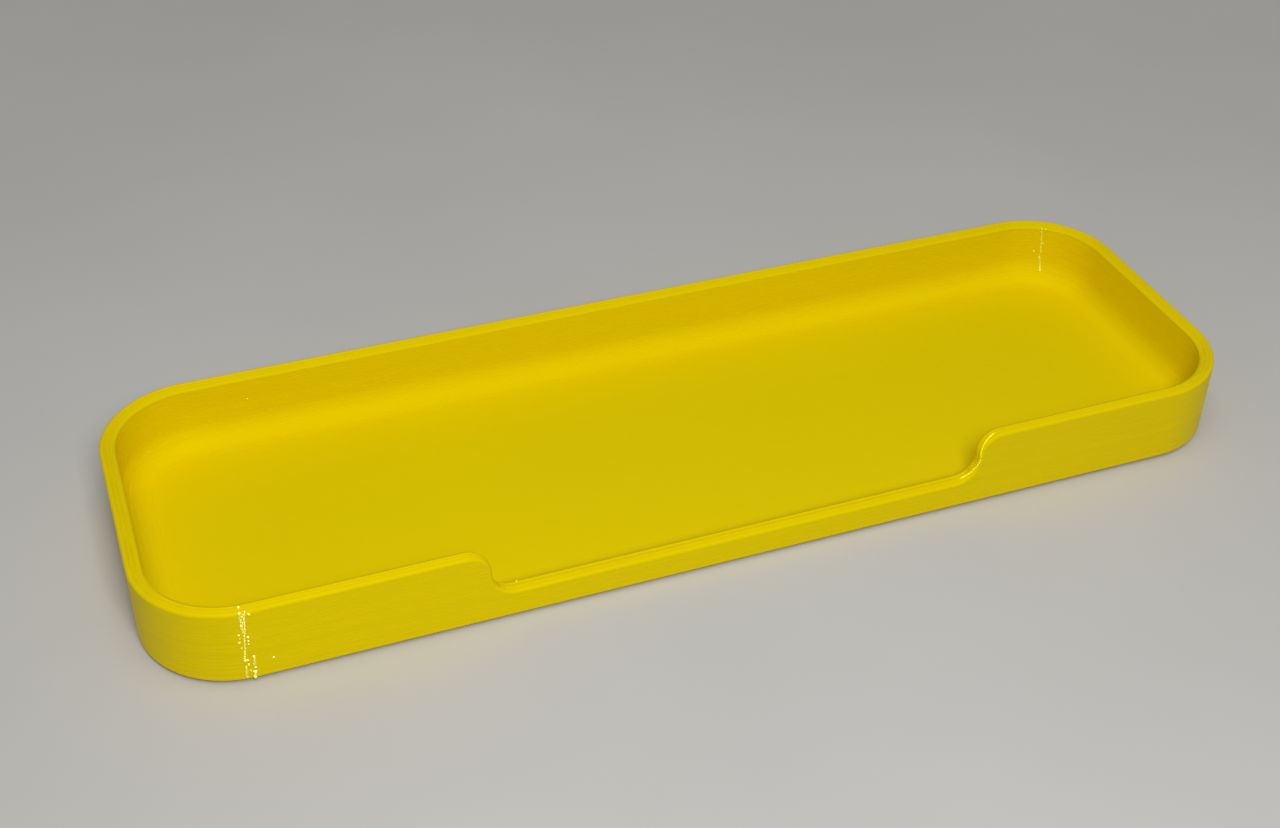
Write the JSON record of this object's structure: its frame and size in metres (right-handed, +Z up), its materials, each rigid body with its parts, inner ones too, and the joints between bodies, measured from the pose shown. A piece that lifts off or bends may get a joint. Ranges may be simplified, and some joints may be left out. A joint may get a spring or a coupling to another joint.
{
  "type": "pen tray",
  "caption": "Shallow rectangular tray with rounded corners and a dipped front edge, for holding pens and pencils on a desk, on small stick-on feet.",
  "frame": {"origin": "middle of the tray's footprint, on the surface that the feet stand on", "axes": "+X along the tray, +Y from the dipped front edge to the back, +Z up"},
  "size_m": [0.19, 0.0604, 0.0141],
  "materials": {
    "tray_plastic": "layered print, satin",
    "foot_rubber": "matte"
  },
  "bodies": {
    "root": {"tray": "tray_plastic", "foot_front_left": "foot_rubber", "foot_front_right": "foot_rubber", "foot_back_left": "foot_rubber", "foot_back_right": "foot_rubber"}
  },
  "joints": []
}
